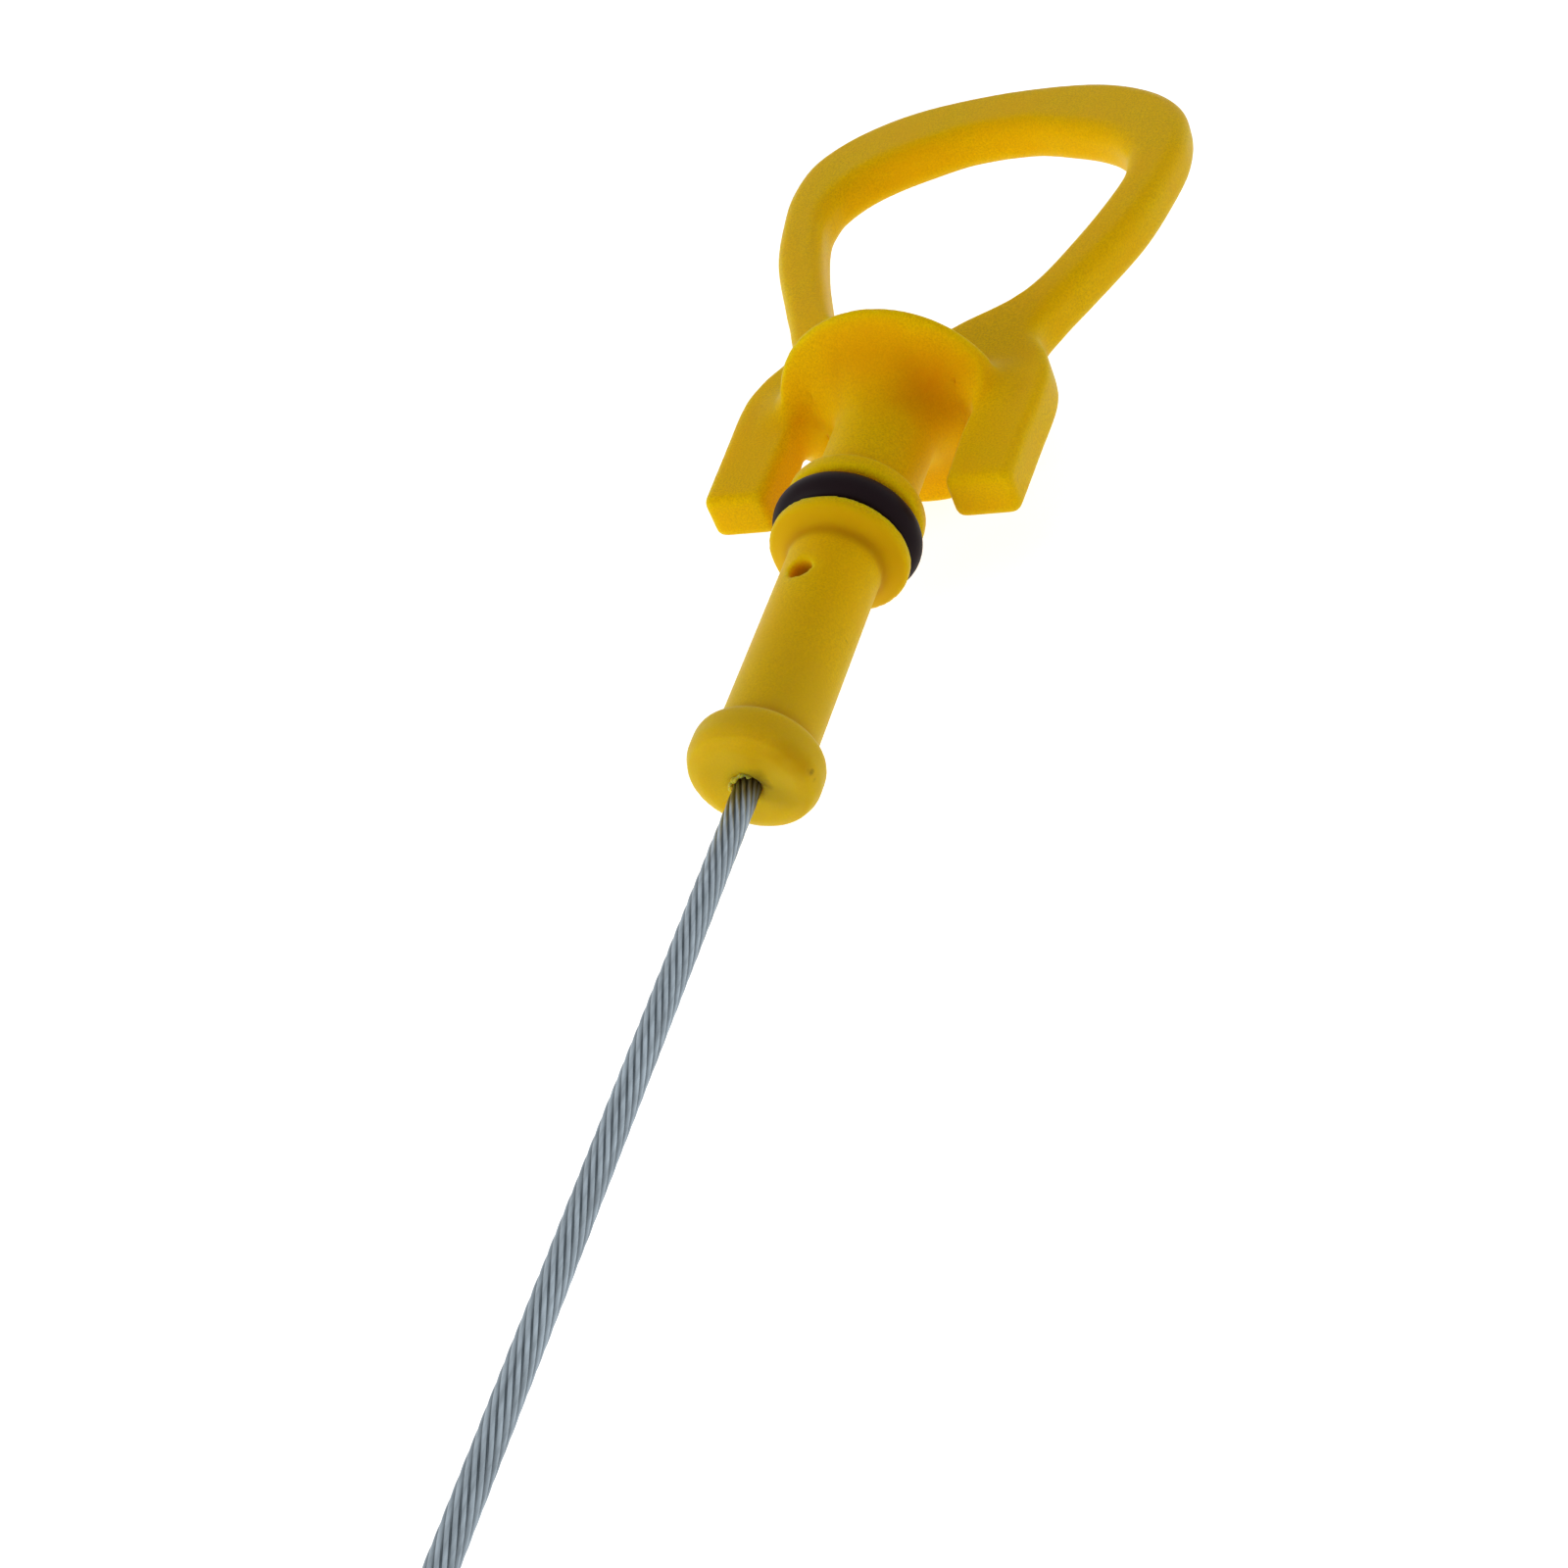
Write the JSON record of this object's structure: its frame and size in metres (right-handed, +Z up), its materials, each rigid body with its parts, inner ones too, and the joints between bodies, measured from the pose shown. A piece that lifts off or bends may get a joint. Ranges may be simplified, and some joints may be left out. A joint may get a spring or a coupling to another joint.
{
  "type": "engine oil dipstick",
  "caption": "Engine oil dipstick with a yellow moulded finger loop, a sealing ring, a stranded steel cable and a flat level blade.",
  "frame": {"origin": "on the stick's axis, at the middle of the lower collar's straight rim, which plugs the guide tube", "axes": "+X along the stick from the blade towards the finger loop (the stick's axis rises 2.1 degrees towards +X because it lies on the hood and the blade's end), +Y across the finger loop, +Z up"},
  "size_m": [0.3703, 0.0464, 0.0244],
  "materials": {
    "handle": "fine satin moulded plastic, slightly translucent",
    "o_ring": "smooth satin rubber",
    "cable": "bright stranded steel wire",
    "level_blade": "dull plated steel"
  },
  "bodies": {
    "root": {"handle": "handle", "o_ring": "o_ring", "cable": "cable", "level_blade": "level_blade"}
  },
  "joints": []
}
